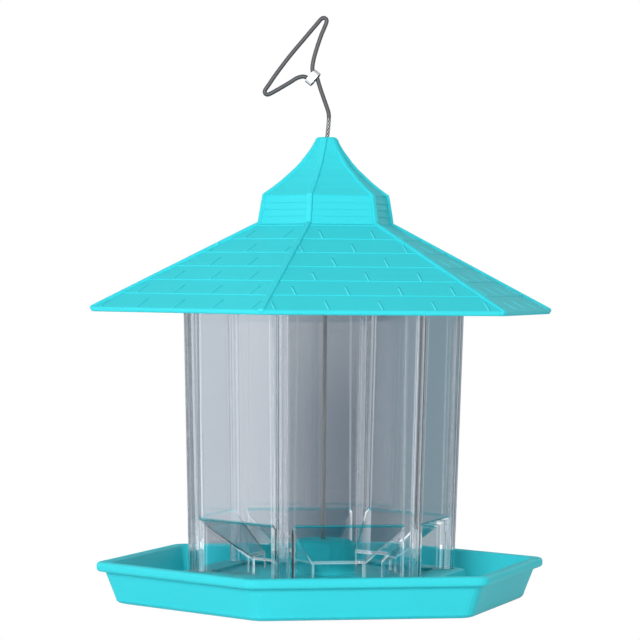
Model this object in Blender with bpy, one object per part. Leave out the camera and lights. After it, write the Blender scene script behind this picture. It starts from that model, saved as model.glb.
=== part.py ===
"""Six-sided hanging bird feeder: a shingled roof on a clear hopper, in a tray hung on a wire rope.

The front face looks along -Y and the origin is at the middle of the tray's underside.
Six-sided forms are lofted from rings. A ring is a hexagon given by its apothem, which is the
distance from the axis to the middle of a side, with its corners rounded by a radius. Where the
radius reaches the apothem the ring is a circle.
"""

import math

import bmesh
import bpy
from mathutils import Matrix, Vector

MM = 0.001

SIDES = 6
SIDE_TURN = math.tau / SIDES
HALF_SIDE_TURN = SIDE_TURN / 2
CORNER_RATIO = 1 / math.cos(HALF_SIDE_TURN)
CORNER_STEPS = 4

# Clearances
SEAT_GAP = 0.3 * MM
BEAD_GAP = 0.4 * MM
WIRE_GAP = 1.5 * MM
FERRULE_GAP = 0.5 * MM
CUT_OVERRUN = 2.0 * MM
JOIN_OVERLAP = 0.6 * MM
SAME_POINT = 0.0005 * MM

# Wire rope
WIRE_DIAMETER = 2.2 * MM
WIRE_PLANE_TURN = math.radians(-12.6)
WIRE_SAMPLES = 2
WIRE_TAIL = 1.0 * MM
BORE_RADIUS = WIRE_DIAMETER / 2 + WIRE_GAP

# Tray
TRAY_HEIGHT = 21.5 * MM
TRAY_WALL = 2.2 * MM
TRAY_FLOOR = 2.4 * MM
TRAY_CORNER_RADIUS = 8.0 * MM
TRAY_FOOT_APOTHEM = 95.2 * MM
TRAY_TOP_APOTHEM = 99.8 * MM
TRAY_FOOT_ROUNDING = 3.4 * MM
TRAY_TROUGH_ROUNDING = 2.4 * MM
LIP_APOTHEM = 103.7 * MM
LIP_HEIGHT = 5.0 * MM
LIP_ROUNDING = 1.7 * MM
DRAIN_DIAMETER = 3.0 * MM
HOLE_SEGMENTS = 18

# Raised deck of the tray, which carries the hopper
DECK_HEIGHT = 15.9 * MM
DECK_APOTHEM = 66.6 * MM
DECK_DRAFT = 2.2 * MM
DECK_ROUNDING = 0.7 * MM
DECK_CORNER_RADIUS = 5.0 * MM
DECK_STEP = 1.5 * MM
DECK_STEP_APOTHEM = 52.2 * MM

# Boss in the middle of the tray, which the wire passes through
BOSS_HEIGHT = 32.4 * MM
BOSS_RADIUS = 16.5 * MM
BOSS_DRAFT = 0.6 * MM
BOSS_FLAT_RADIUS = 12.0 * MM
BOSS_SHOULDER = 4.2 * MM
BOSS_FOOT_ROUNDING = 2.0 * MM
BOSS_WALL = 2.4 * MM

# Hopper: columns at the corners, rails beside them and a pane between the rails
COLUMN_CIRCLE_AT_DECK = 67.6 * MM
COLUMN_LEAN_SHARE = 0.029
BEAD_RADIUS = 1.5 * MM
CHANNEL_WALL = 1.1 * MM
CHANNEL_STEPS = 18
BEAD_STEPS = 12
WEB_THICKNESS = 1.4 * MM
WEB_MOUTH_GAP = 0.4 * MM
PEG_LENGTH = 4.0 * MM
PEG_SLACK = 0.1 * MM
PEG_RADIUS = BEAD_RADIUS - PEG_SLACK
RAIL_THICKNESS = 4.0 * MM
PANE_THICKNESS = 1.6 * MM
PANE_SET_BACK = 0.8 * MM
RAIL_WIDTH = 5.8 * MM
WINDOW_TOP = 43.4 * MM
OUTLET_WIDTH = 25.2 * MM
OUTLET_TOP = 22.3 * MM
OUTLET_APOTHEM = 36.0 * MM
RAMP_THICKNESS = 1.2 * MM
CHEEK_THICKNESS = 1.5 * MM
WINDOW_WIDTH = 2 * (COLUMN_CIRCLE_AT_DECK * math.sin(HALF_SIDE_TURN) - RAIL_WIDTH)

# Roof
ROOF_TURN = math.radians(2.9)
ROOF_WALL = 2.0 * MM
EAVE_HEIGHT = 152.3 * MM
EAVE_LIP_OVERHANG = 1.1 * MM
EAVE_LIP_DEPTH = 2.7 * MM
EAVE_LIP_ROUNDING = 1.0 * MM
EAVE_LIP_START = 70
EAVE_CORNER_RADIUS = 5.0 * MM
SHINGLE_COURSES = 6
SHINGLE_STEP = 0.45 * MM
FLASHING_WIDTH = 1.9 * MM
SLOPE_RISE = 43.4 * MM
SLOPE_RUN = 75.6 * MM
CUPOLA_FOOT_APOTHEM = 31.0 * MM
CUPOLA_CORNER_RADIUS = 0.8 * MM
BAND_RISE = 13.9 * MM
BAND_DRAFT = 2.1 * MM
BAND_BOARDS = 4
BAND_STEP = 0.35 * MM
CUPOLA_EAVE_LIP = 0.6 * MM
CUPOLA_EAVE_SETBACK = 0.2 * MM
CUPOLA_RISE = 30.4 * MM
CUPOLA_COURSES = 3
CUPOLA_COURSE_ROWS = 3
CUPOLA_COURSE_STEP = 0.15 * MM
CUPOLA_FLARE_SHARE = 0.56
NECK_APOTHEM = 3.8 * MM
NECK_ROUNDING = 0.4 * MM
NECK_SHOULDER = 1.3 * MM
NECK_BORE_LENGTH = 5.0 * MM
RIB_WIDTH = 2.8 * MM
RIB_RISE = 0.85 * MM
RIB_SINK = 0.8 * MM
RIB_NOSE_SINK = 0.1 * MM
RIB_ROUNDING = 0.4 * MM
RIB_START_SHARE = 0.25
RIB_NECK_SHARE = 0.5
RIB_NOSE_SHARES = (0.85, 0.6)
LIP_UPPER_STEPS = 2
LIP_LOWER_STEPS = 3

CUPOLA_FOOT_HEIGHT = EAVE_HEIGHT + SLOPE_RISE
BAND_TOP_HEIGHT = CUPOLA_FOOT_HEIGHT + BAND_RISE
CUPOLA_EAVE_HEIGHT = BAND_TOP_HEIGHT + CUPOLA_EAVE_LIP
ROOF_HEIGHT = CUPOLA_EAVE_HEIGHT + CUPOLA_RISE
FLASHING_APOTHEM = CUPOLA_FOOT_APOTHEM + FLASHING_WIDTH
EAVE_APOTHEM = CUPOLA_FOOT_APOTHEM + SLOPE_RUN
EAVE_LIP_APOTHEM = EAVE_APOTHEM + EAVE_LIP_OVERHANG
BAND_TOP_APOTHEM = CUPOLA_FOOT_APOTHEM - BAND_DRAFT
CUPOLA_EAVE_APOTHEM = BAND_TOP_APOTHEM - CUPOLA_EAVE_SETBACK

# Washer and end stop under the boss, and the ferrule of the loop
WASHER_RADIUS = 6.0 * MM
WASHER_THICKNESS = 1.0 * MM
STOP_RADIUS = 2.7 * MM
STOP_LENGTH = 8.0 * MM
STOP_ROUNDING = 0.5 * MM
SMALL_PART_SEGMENTS = 32
FERRULE_SPACING = 3.8 * MM
FERRULE_WALL = 0.65 * MM
FERRULE_LENGTH = 3.6 * MM
FERRULE_STEPS = 12
FERRULE_PLACE = (-7.47 * MM, 30.68 * MM)
FERRULE_LEAN = math.radians(50.0)
FERRULE_TILT = math.radians(11.0)

# The free wire's route, as (distance to the right, height above the neck) in its upright plane
SPLIT_DEPTH = 3.5 * MM
LEAD_ROUTE = (
    (0.0 * MM, -3.2 * MM),
    (0.1 * MM, -1.2 * MM),
    (0.4 * MM, 1.6 * MM),
    (0.8 * MM, 5.8 * MM),
    (1.05 * MM, 9.8 * MM),
)
LOOP_ROUTE = (
    (1.05 * MM, 10.3 * MM),
    (0.8 * MM, 12.8 * MM),
    (-0.1 * MM, 15.6 * MM),
    (-1.8 * MM, 20.3 * MM),
    (-3.6 * MM, 25.4 * MM),
    (-4.6 * MM, 28.6 * MM),
    (-5.23 * MM, 30.59 * MM),
    (-6.29 * MM, 32.06 * MM),
    (-7.38 * MM, 33.36 * MM),
    (-7.74 * MM, 35.1 * MM),
    (-7.45 * MM, 38.6 * MM),
    (-6.4 * MM, 43.2 * MM),
    (-3.4 * MM, 52.6 * MM),
    (-1.7 * MM, 56.8 * MM),
    (-0.67 * MM, 59.59 * MM),
    (-0.63 * MM, 60.69 * MM),
    (-1.3 * MM, 61.55 * MM),
    (-2.36 * MM, 61.79 * MM),
    (-3.34 * MM, 61.27 * MM),
    (-5.4 * MM, 58.9 * MM),
    (-8.1 * MM, 55.7 * MM),
    (-11.5 * MM, 51.6 * MM),
    (-18.8 * MM, 42.8 * MM),
    (-22.8 * MM, 37.6 * MM),
    (-27.1 * MM, 31.7 * MM),
    (-30.3 * MM, 26.9 * MM),
    (-32.16 * MM, 24.12 * MM),
    (-32.39 * MM, 23.17 * MM),
    (-31.99 * MM, 22.27 * MM),
    (-31.13 * MM, 21.82 * MM),
    (-30.16 * MM, 21.99 * MM),
    (-26.9 * MM, 23.7 * MM),
    (-18.9 * MM, 28.5 * MM),
    (-16.1 * MM, 30.3 * MM),
    (-13.7 * MM, 31.2 * MM),
    (-12.1 * MM, 31.3 * MM),
    (-10.18 * MM, 30.57 * MM),
    (-8.65 * MM, 29.28 * MM),
    (-7.5 * MM, 28.32 * MM),
)

# Colours
TURQUOISE = (0.045, 0.60, 0.66, 1.0)
CLEAR_PLASTIC = (0.86, 0.90, 0.92, 1.0)
STEEL_GREY = (0.33, 0.34, 0.35, 1.0)
PALE_METAL = (0.78, 0.79, 0.80, 1.0)


def clear_scene():
    """Removes every object of the startup scene."""
    for obj in list(bpy.data.objects):
        bpy.data.objects.remove(obj, do_unlink=True)


def finish_material(name, colour, roughness, metallic=0.0, alpha=1.0):
    """A Principled material with one colour."""
    material = bpy.data.materials.new(name)
    material.use_nodes = True
    shader = material.node_tree.nodes["Principled BSDF"]
    shader.inputs["Base Color"].default_value = colour
    shader.inputs["Roughness"].default_value = roughness
    shader.inputs["Metallic"].default_value = metallic
    shader.inputs["Alpha"].default_value = alpha
    return material


def add_object(name, mesh, material=None, hidden=False):
    """Links a mesh as an object. A hidden one is a cutter or a piece of a union."""
    obj = bpy.data.objects.new(name, mesh)
    bpy.context.scene.collection.objects.link(obj)
    if material:
        mesh.materials.append(material)
    if hidden:
        obj.hide_render = True
        obj.display_type = "WIRE"
    return obj


def mesh_from(name, points, faces):
    """A closed mesh with its faces turned outwards."""
    shape = bmesh.new()
    made = [shape.verts.new(point) for point in points]
    for face in faces:
        shape.faces.new([made[index] for index in face])
    bmesh.ops.remove_doubles(shape, verts=shape.verts, dist=SAME_POINT)
    bmesh.ops.recalc_face_normals(shape, faces=shape.faces)
    mesh = bpy.data.meshes.new(name)
    shape.to_mesh(mesh)
    shape.free()
    return mesh


def ring(apothem, corner_radius, height, turn=0.0):
    """Points of a level hexagon with rounded corners. Corner 0 is on the X axis."""
    radius = min(corner_radius, apothem)
    centre_distance = (apothem - radius) * CORNER_RATIO
    points = []
    for corner in range(SIDES):
        heading = corner * SIDE_TURN + turn
        for step in range(CORNER_STEPS + 1):
            swing = heading + (step / CORNER_STEPS - 0.5) * SIDE_TURN
            points.append(
                Vector(
                    (
                        centre_distance * math.cos(heading) + radius * math.cos(swing),
                        centre_distance * math.sin(heading) + radius * math.sin(swing),
                        height,
                    )
                )
            )
    return points


def loft(name, rings, closed_loop=True):
    """Joins rings of equal point counts. A closed loop joins the last ring to the first."""
    count = len(rings[0])
    points = [point for each in rings for point in each]
    faces = []
    last = len(rings) if closed_loop else len(rings) - 1
    for low in range(last):
        high = (low + 1) % len(rings)
        for here in range(count):
            there = (here + 1) % count
            faces.append(
                (
                    low * count + here,
                    low * count + there,
                    high * count + there,
                    high * count + here,
                )
            )
    if not closed_loop:
        faces.append(tuple(range(count)))
        faces.append(tuple((len(rings) - 1) * count + here for here in range(count)))
    return mesh_from(name, points, faces)


def arc(centre, radius, start, end, steps, flatten=1.0):
    """Points (across, height) on an arc, with angles in degrees from the outward direction."""
    points = []
    for step in range(steps + 1):
        angle = math.radians(start + (end - start) * step / steps)
        points.append(
            (
                centre[0] + radius * math.cos(angle),
                centre[1] + radius * flatten * math.sin(angle),
            )
        )
    return points


def boolean(obj, operation, others):
    """Adds one exact Boolean modifier for each of the other objects."""
    for other in others:
        modifier = obj.modifiers.new(operation.lower() + "_" + other.name, "BOOLEAN")
        modifier.operation = operation
        modifier.solver = "EXACT"
        modifier.object = other


def applied_mesh(obj):
    """The object's mesh with its modifiers applied."""
    bpy.context.view_layer.update()
    graph = bpy.context.evaluated_depsgraph_get()
    return bpy.data.meshes.new_from_object(obj.evaluated_get(graph), depsgraph=graph)


def smooth(mesh, angle=math.radians(32)):
    """Shades a mesh smooth apart from its sharp edges."""
    mesh.shade_smooth()
    mesh.set_sharp_from_angle(angle=angle)


def circle(radius, height, segments, place=(0, 0)):
    """Points of a level circle. No point of it lies straight out from the axis or towards it."""
    heading = math.atan2(place[1], place[0])
    points = []
    for step in range(segments):
        angle = heading + (step + 0.5) * math.tau / segments
        x = place[0] + radius * math.cos(angle)
        y = place[1] + radius * math.sin(angle)
        points.append(Vector((x, y, height)))
    return points


def cylinder(name, radius, bottom, top, place):
    """A closed upright cylinder."""
    rings = [circle(radius, height, HOLE_SEGMENTS, place) for height in (bottom, top)]
    return loft(name, rings, closed_loop=False)


def around_axis(radius, turns):
    """Places at equal turns round the axis, the first one on the X axis."""
    return [
        (radius * math.cos(index * math.tau / turns), radius * math.sin(index * math.tau / turns))
        for index in range(turns)
    ]


# Tray


def tray_outside():
    """Tray profile from the foot up over the lip, as (apothem, corner radius, height)."""
    lip_bottom = TRAY_HEIGHT - LIP_HEIGHT
    foot = arc(
        (TRAY_FOOT_APOTHEM - TRAY_FOOT_ROUNDING, TRAY_FOOT_ROUNDING), TRAY_FOOT_ROUNDING, -90, 0, 3
    )
    lower = arc((LIP_APOTHEM - LIP_ROUNDING, lip_bottom + LIP_ROUNDING), LIP_ROUNDING, -90, 0, 3)
    upper = arc((LIP_APOTHEM - LIP_ROUNDING, TRAY_HEIGHT - LIP_ROUNDING), LIP_ROUNDING, 0, 90, 3)
    inner_edge = TRAY_TOP_APOTHEM - TRAY_WALL
    inner = arc((inner_edge + LIP_ROUNDING, TRAY_HEIGHT - LIP_ROUNDING), LIP_ROUNDING, 90, 180, 3)
    outline = foot + [(TRAY_TOP_APOTHEM, lip_bottom)] + lower + upper + inner
    return [(across, TRAY_CORNER_RADIUS, height) for across, height in outline]


def tray_trough():
    """From the inner wall down to the trough's floor and up the side of the deck."""
    wall_foot = TRAY_FOOT_APOTHEM - TRAY_WALL + TRAY_TROUGH_ROUNDING / 2
    outer = arc(
        (wall_foot - TRAY_TROUGH_ROUNDING, TRAY_FLOOR + TRAY_TROUGH_ROUNDING),
        TRAY_TROUGH_ROUNDING,
        0,
        -90,
        3,
    )
    deck_foot = DECK_APOTHEM + DECK_DRAFT
    rise = arc(
        (deck_foot + TRAY_TROUGH_ROUNDING, TRAY_FLOOR + TRAY_TROUGH_ROUNDING),
        TRAY_TROUGH_ROUNDING,
        -90,
        -180,
        3,
    )
    edge = arc(
        (DECK_APOTHEM - DECK_ROUNDING, DECK_HEIGHT - DECK_ROUNDING), DECK_ROUNDING, 0, 90, 2
    )
    trough = [(across, TRAY_CORNER_RADIUS, height) for across, height in outer]
    return trough + [(across, DECK_CORNER_RADIUS, height) for across, height in rise + edge]


def tray_deck_and_boss():
    """The deck's step and the boss up to the wire's hole."""
    deck_floor = DECK_HEIGHT - DECK_STEP
    profile = [
        (DECK_STEP_APOTHEM, DECK_CORNER_RADIUS, DECK_HEIGHT),
        (DECK_STEP_APOTHEM, DECK_CORNER_RADIUS, deck_floor),
    ]
    boss_foot = BOSS_RADIUS + BOSS_DRAFT
    foot = arc(
        (boss_foot + BOSS_FOOT_ROUNDING, deck_floor + BOSS_FOOT_ROUNDING),
        BOSS_FOOT_ROUNDING,
        -90,
        -180,
        3,
    )
    shoulder_width = BOSS_RADIUS - BOSS_FLAT_RADIUS
    shoulder = arc(
        (BOSS_FLAT_RADIUS, BOSS_HEIGHT - BOSS_SHOULDER),
        shoulder_width,
        0,
        90,
        5,
        flatten=BOSS_SHOULDER / shoulder_width,
    )
    round_part = foot + shoulder + [(BORE_RADIUS, BOSS_HEIGHT)]
    return profile + [(radius, radius, height) for radius, height in round_part]


def tray_underside():
    """From the hole down the hollow boss and out under the deck to the foot."""
    inner_radius = BOSS_RADIUS - BOSS_WALL
    deck_floor_under = DECK_HEIGHT - DECK_STEP - TRAY_WALL
    deck_under = DECK_HEIGHT - TRAY_WALL
    step_under = DECK_STEP_APOTHEM - TRAY_WALL
    round_part = [
        (BORE_RADIUS, BOSS_HEIGHT - BOSS_WALL),
        (BOSS_FLAT_RADIUS, BOSS_HEIGHT - BOSS_WALL),
        (inner_radius, BOSS_HEIGHT - BOSS_SHOULDER - BOSS_WALL / 2),
        (inner_radius + BOSS_DRAFT, deck_floor_under),
    ]
    deck_side = DECK_APOTHEM - TRAY_WALL
    hexagonal = [
        (step_under, deck_floor_under),
        (step_under + DECK_STEP, deck_under),
        (deck_side, deck_under),
        (deck_side + DECK_DRAFT, TRAY_FLOOR),
        (deck_side + DECK_DRAFT, 0),
    ]
    outline = [(radius, radius, height) for radius, height in round_part]
    return outline + [(across, DECK_CORNER_RADIUS, height) for across, height in hexagonal]


def make_tray(material):
    """The tray with its hole for the wire, drain holes and sockets for the panels' pegs."""
    profile = tray_outside() + tray_trough() + tray_deck_and_boss() + tray_underside()
    tray = add_object("tray", loft("tray", [ring(*each) for each in profile]), material)
    trough_middle = (DECK_APOTHEM + TRAY_FOOT_APOTHEM) / 2
    drains = around_axis(trough_middle * CORNER_RATIO, SIDES)
    cutters = [
        add_object(
            f"drain_cutter_{index + 1}",
            cylinder(
                "drain_cutter",
                DRAIN_DIAMETER / 2,
                -CUT_OVERRUN,
                TRAY_FLOOR + CUT_OVERRUN,
                place,
            ),
            hidden=True,
        )
        for index, place in enumerate(drains)
    ]
    socket_height = DECK_HEIGHT - TRAY_WALL
    sockets = around_axis(column_circle(DECK_HEIGHT), SIDES)
    cutters += [
        add_object(
            f"socket_cutter_{index + 1}",
            cylinder(
                "socket_cutter",
                PEG_RADIUS + BEAD_GAP,
                socket_height - CUT_OVERRUN,
                DECK_HEIGHT + CUT_OVERRUN,
                place,
            ),
            hidden=True,
        )
        for index, place in enumerate(sockets)
    ]
    boolean(tray, "DIFFERENCE", cutters)
    smooth(tray.data)
    return tray


# Hopper panels


def column_circle(height):
    """Distance from the axis to the middle of a corner column, which leans outwards."""
    return COLUMN_CIRCLE_AT_DECK + COLUMN_LEAN_SHARE * (height - DECK_HEIGHT)


def half_side(height):
    """Half the distance between two neighbouring corner columns."""
    return column_circle(height) * math.sin(HALF_SIDE_TURN)


def wall_middle(height):
    """Apothem of the middle of the rails' thickness."""
    return column_circle(height) * math.cos(HALF_SIDE_TURN)


def hopper_top():
    """Height at which the corner columns meet the underside of the turned roof."""
    channel_radius = BEAD_RADIUS + BEAD_GAP + CHANNEL_WALL
    height = EAVE_HEIGHT
    for _ in range(8):
        reach = column_circle(height) + channel_radius
        across = reach * math.cos(HALF_SIDE_TURN - ROOF_TURN)
        height = roof_underside(across) - SEAT_GAP
    return height


def panel_point(along, outward, height):
    """A point of the front panel. Along runs to the right, as seen from the front."""
    return Vector((along, -(wall_middle(height) + outward), height))


def prism(name, low_outline, high_outline):
    """A closed solid between two outlines of equal point counts, given as points."""
    return add_object(name, loft(name, [low_outline, high_outline], closed_loop=False), hidden=True)


def channel_outline(height):
    """Right rail and the C-shaped channel on its end, round the column's middle."""
    middle = half_side(height)
    inner = BEAD_RADIUS + BEAD_GAP
    outer = inner + CHANNEL_WALL
    mouth = WEB_THICKNESS / 2 + WEB_MOUTH_GAP
    facing = -SIDE_TURN
    inner_half = math.asin(mouth / inner)
    outer_half = math.asin(mouth / outer)
    outer_start = facing + outer_half
    outer_end = facing + math.tau - outer_half
    inner_start = facing + inner_half
    inner_end = facing + math.tau - inner_half
    half_rail = RAIL_THICKNESS / 2
    rail_half_angle = math.asin(half_rail / outer)
    points = []
    for step in range(CHANNEL_STEPS + 1):
        angle = outer_start + (outer_end - outer_start) * step / CHANNEL_STEPS
        points.append((angle, outer))
    before = [p for p in points if p[0] < math.pi - rail_half_angle]
    after = [p for p in points if p[0] > math.pi + rail_half_angle]
    outline = [(middle + r * math.cos(a), r * math.sin(a)) for a, r in before]
    root = middle - outer * math.cos(rail_half_angle)
    outline += [(root, half_rail), (WINDOW_WIDTH / 2, half_rail)]
    outline += [(WINDOW_WIDTH / 2, -half_rail), (root, -half_rail)]
    outline += [(middle + r * math.cos(a), r * math.sin(a)) for a, r in after]
    for step in range(CHANNEL_STEPS + 1):
        angle = inner_end + (inner_start - inner_end) * step / CHANNEL_STEPS
        outline.append((middle + inner * math.cos(angle), inner * math.sin(angle)))
    return [panel_point(along, outward, height) for along, outward in outline]


def bead_outline(height):
    """Left rail, its thin web and the round bead on its end."""
    middle = -half_side(height)
    half_web = WEB_THICKNESS / 2
    half_rail = RAIL_THICKNESS / 2
    channel_radius = BEAD_RADIUS + BEAD_GAP + CHANNEL_WALL
    rail_end = middle + channel_radius + BEAD_GAP
    web_angle = math.asin(half_web / BEAD_RADIUS)
    outline = []
    for step in range(BEAD_STEPS + 1):
        angle = web_angle + (math.tau - 2 * web_angle) * step / BEAD_STEPS
        outline.append((middle + BEAD_RADIUS * math.cos(angle), BEAD_RADIUS * math.sin(angle)))
    outline += [(rail_end, -half_web), (rail_end, -half_rail), (-WINDOW_WIDTH / 2, -half_rail)]
    outline += [(-WINDOW_WIDTH / 2, half_rail), (rail_end, half_rail), (rail_end, half_web)]
    return [panel_point(along, outward, height) for along, outward in outline]


def pane_outline(height):
    """The pane between the rails, set back from their outer face."""
    edge = WINDOW_WIDTH / 2 + JOIN_OVERLAP
    front = RAIL_THICKNESS / 2 - PANE_SET_BACK
    back = front - PANE_THICKNESS
    corners = ((-edge, front), (edge, front), (edge, back), (-edge, back))
    return [panel_point(along, outward, height) for along, outward in corners]


def ramp_height(apothem):
    """Height of the ramp's lower face, which falls from the window's top to the outlet."""
    start = pane_front_apothem()
    fall = (WINDOW_TOP - OUTLET_TOP) / (start - OUTLET_APOTHEM)
    return WINDOW_TOP - fall * (start - apothem)


def pane_front_apothem():
    """Apothem of the pane's front face at the window's top."""
    return wall_middle(WINDOW_TOP) + RAIL_THICKNESS / 2 - PANE_SET_BACK


def pocket_half_width(apothem):
    """Half the pocket's inner width, which draws in from the window to the outlet."""
    start = wall_middle(WINDOW_TOP) - RAIL_THICKNESS / 2
    share = min(max((apothem - OUTLET_APOTHEM) / (start - OUTLET_APOTHEM), 0), 1)
    return (OUTLET_WIDTH + (WINDOW_WIDTH - OUTLET_WIDTH) * share) / 2


def ramp_piece():
    """The sloping roof of the pocket."""
    start = pane_front_apothem()
    bend = wall_middle(WINDOW_TOP) - RAIL_THICKNESS / 2
    slope = math.atan2(WINDOW_TOP - OUTLET_TOP, start - OUTLET_APOTHEM)
    rise = RAMP_THICKNESS / math.cos(slope)
    lower, upper = [], []
    for apothem in (start, bend, OUTLET_APOTHEM):
        edge = pocket_half_width(apothem) + (
            JOIN_OVERLAP if apothem == start else CHEEK_THICKNESS - JOIN_OVERLAP
        )
        low = ramp_height(apothem)
        lower.append((Vector((-edge, -apothem, low)), Vector((edge, -apothem, low))))
        upper.append(
            (Vector((-edge, -apothem, low + rise)), Vector((edge, -apothem, low + rise)))
        )
    rings = [
        [lower[index][0], lower[index][1], upper[index][1], upper[index][0]] for index in range(3)
    ]
    return add_object("ramp_piece", loft("ramp_piece", rings, closed_loop=False), hidden=True)


def cheek_piece(side, bottom):
    """One upright side wall of the pocket. Side is 1 on the right and -1 on the left."""
    start = wall_middle(WINDOW_TOP) - RAIL_THICKNESS / 2 + JOIN_OVERLAP
    step_apothem = DECK_STEP_APOTHEM - SEAT_GAP
    lower_bottom = bottom - DECK_STEP
    cover = RAMP_THICKNESS / 2
    outline = [
        (start, bottom),
        (step_apothem, bottom),
        (step_apothem, lower_bottom),
        (OUTLET_APOTHEM, lower_bottom),
        (OUTLET_APOTHEM, ramp_height(OUTLET_APOTHEM) + cover),
        (start, ramp_height(start) + cover),
    ]
    inner, outer = [], []
    for apothem, height in outline:
        edge = pocket_half_width(apothem)
        inner.append(Vector((side * edge, -apothem, height)))
        outer.append(Vector((side * (edge + CHEEK_THICKNESS), -apothem, height)))
    name = "cheek_piece_right" if side > 0 else "cheek_piece_left"
    return prism(name, inner, outer)


def peg_piece(bottom):
    """The bead's end, which stands in a socket of the deck."""
    place = (-half_side(DECK_HEIGHT), -wall_middle(DECK_HEIGHT))
    mesh = cylinder("peg_piece", PEG_RADIUS, bottom - PEG_LENGTH, bottom + JOIN_OVERLAP, place)
    return add_object("peg_piece", mesh, hidden=True)


def make_panels(material):
    """Six equal clear panels, each with its pocket, made once and copied round the axis."""
    bottom = DECK_HEIGHT + SEAT_GAP
    top = hopper_top()
    right = prism("channel_piece", channel_outline(bottom), channel_outline(top))
    left = prism("bead_piece", bead_outline(bottom), bead_outline(top))
    pane = prism("pane_piece", pane_outline(WINDOW_TOP), pane_outline(top))
    pieces = [left, right, ramp_piece(), cheek_piece(1, bottom), cheek_piece(-1, bottom)]
    pieces.append(peg_piece(bottom))
    boolean(pane, "UNION", pieces)
    joined = applied_mesh(pane)
    smooth(joined)
    panels = []
    for index in range(SIDES):
        mesh = joined.copy()
        mesh.name = f"hopper_panel_{index + 1}"
        mesh.transform(Matrix.Rotation(index * SIDE_TURN, 4, "Z"))
        panels.append(add_object(mesh.name, mesh, material))
    for helper in [pane] + pieces:
        bpy.data.objects.remove(helper, do_unlink=True)
    return panels


# Roof


def roof_surface(apothem):
    """Height of the slope through the shingles' lower edges."""
    fall = (CUPOLA_FOOT_HEIGHT - EAVE_HEIGHT) / (EAVE_APOTHEM - CUPOLA_FOOT_APOTHEM)
    return CUPOLA_FOOT_HEIGHT - fall * (apothem - CUPOLA_FOOT_APOTHEM)


def roof_underside(apothem):
    """Height of the slope's lower face."""
    fall = math.atan2(CUPOLA_FOOT_HEIGHT - EAVE_HEIGHT, EAVE_APOTHEM - CUPOLA_FOOT_APOTHEM)
    return roof_surface(apothem) - SHINGLE_STEP - ROOF_WALL / math.cos(fall)


def corner_rounding(apothem):
    """The slopes' corners are rounded more towards the eave."""
    share = (apothem - CUPOLA_FOOT_APOTHEM) / (EAVE_APOTHEM - CUPOLA_FOOT_APOTHEM)
    return CUPOLA_CORNER_RADIUS + (EAVE_CORNER_RADIUS - CUPOLA_CORNER_RADIUS) * max(share, 0)


def cupola_apothem(height):
    """The cupola's concave side: straight near the neck and flaring towards its eave."""
    share = (ROOF_HEIGHT - height) / (ROOF_HEIGHT - CUPOLA_EAVE_HEIGHT)
    flare = (1 - CUPOLA_FLARE_SHARE) * share + CUPOLA_FLARE_SHARE * share * share
    return NECK_APOTHEM + (CUPOLA_EAVE_APOTHEM - NECK_APOTHEM) * flare


def band_apothem(height):
    """The clapboard band's side, which tapers a little."""
    share = (height - CUPOLA_FOOT_HEIGHT) / (BAND_TOP_HEIGHT - CUPOLA_FOOT_HEIGHT)
    return CUPOLA_FOOT_APOTHEM + (BAND_TOP_APOTHEM - CUPOLA_FOOT_APOTHEM) * share


def cupola_outline():
    """Concave side from the neck down to the cupola's eave, in faint courses."""
    rows = CUPOLA_COURSES * CUPOLA_COURSE_ROWS
    fall = (ROOF_HEIGHT - CUPOLA_EAVE_HEIGHT) / rows
    shoulder = ROOF_HEIGHT - NECK_SHOULDER
    outline = [
        (NECK_APOTHEM - NECK_ROUNDING, ROOF_HEIGHT),
        (cupola_apothem(shoulder), shoulder),
    ]
    for row in range(1, rows + 1):
        height = ROOF_HEIGHT - row * fall
        within = row % CUPOLA_COURSE_ROWS
        lift = CUPOLA_COURSE_STEP if within == 0 else 0
        outline.append((cupola_apothem(height) + lift, height))
        if within == 0 and row < rows:
            outline.append((cupola_apothem(height), height))
    return outline


def band_outline():
    """Clapboards under the cupola's eave, each lower edge standing a little proud."""
    outline = [(BAND_TOP_APOTHEM - BAND_STEP, BAND_TOP_HEIGHT)]
    board = (BAND_TOP_HEIGHT - CUPOLA_FOOT_HEIGHT) / BAND_BOARDS
    for index in range(1, BAND_BOARDS + 1):
        height = BAND_TOP_HEIGHT - index * board
        outline.append((band_apothem(height), height))
        if index < BAND_BOARDS:
            outline.append((band_apothem(height) - BAND_STEP, height))
    return outline


def shingle_outline():
    """A narrow flashing and courses of shingles, each lower edge lying on the next course."""
    outline = [(CUPOLA_FOOT_APOTHEM, CUPOLA_FOOT_HEIGHT - SHINGLE_STEP)]
    run = (EAVE_APOTHEM - FLASHING_APOTHEM) / SHINGLE_COURSES
    for course in range(SHINGLE_COURSES + 1):
        across = FLASHING_APOTHEM + course * run
        outline.append((across, roof_surface(across)))
        if course < SHINGLE_COURSES:
            outline.append((across, roof_surface(across) - SHINGLE_STEP))
    return outline


def eave_outline():
    """The rounded eave and the slope's lower face up to the cupola."""
    lip_bottom = EAVE_HEIGHT - EAVE_LIP_DEPTH
    middle = EAVE_LIP_APOTHEM - EAVE_LIP_ROUNDING
    upper_centre = (middle, EAVE_HEIGHT - EAVE_LIP_ROUNDING)
    lower_centre = (middle, lip_bottom + EAVE_LIP_ROUNDING)
    outline = arc(upper_centre, EAVE_LIP_ROUNDING, EAVE_LIP_START, 0, LIP_UPPER_STEPS)
    outline += arc(lower_centre, EAVE_LIP_ROUNDING, 0, -90, LIP_LOWER_STEPS)
    inner = EAVE_APOTHEM - EAVE_LIP_DEPTH
    outline.append((inner, lip_bottom))
    outline.append((inner, max(roof_underside(inner), lip_bottom + JOIN_OVERLAP)))
    return outline


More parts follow.
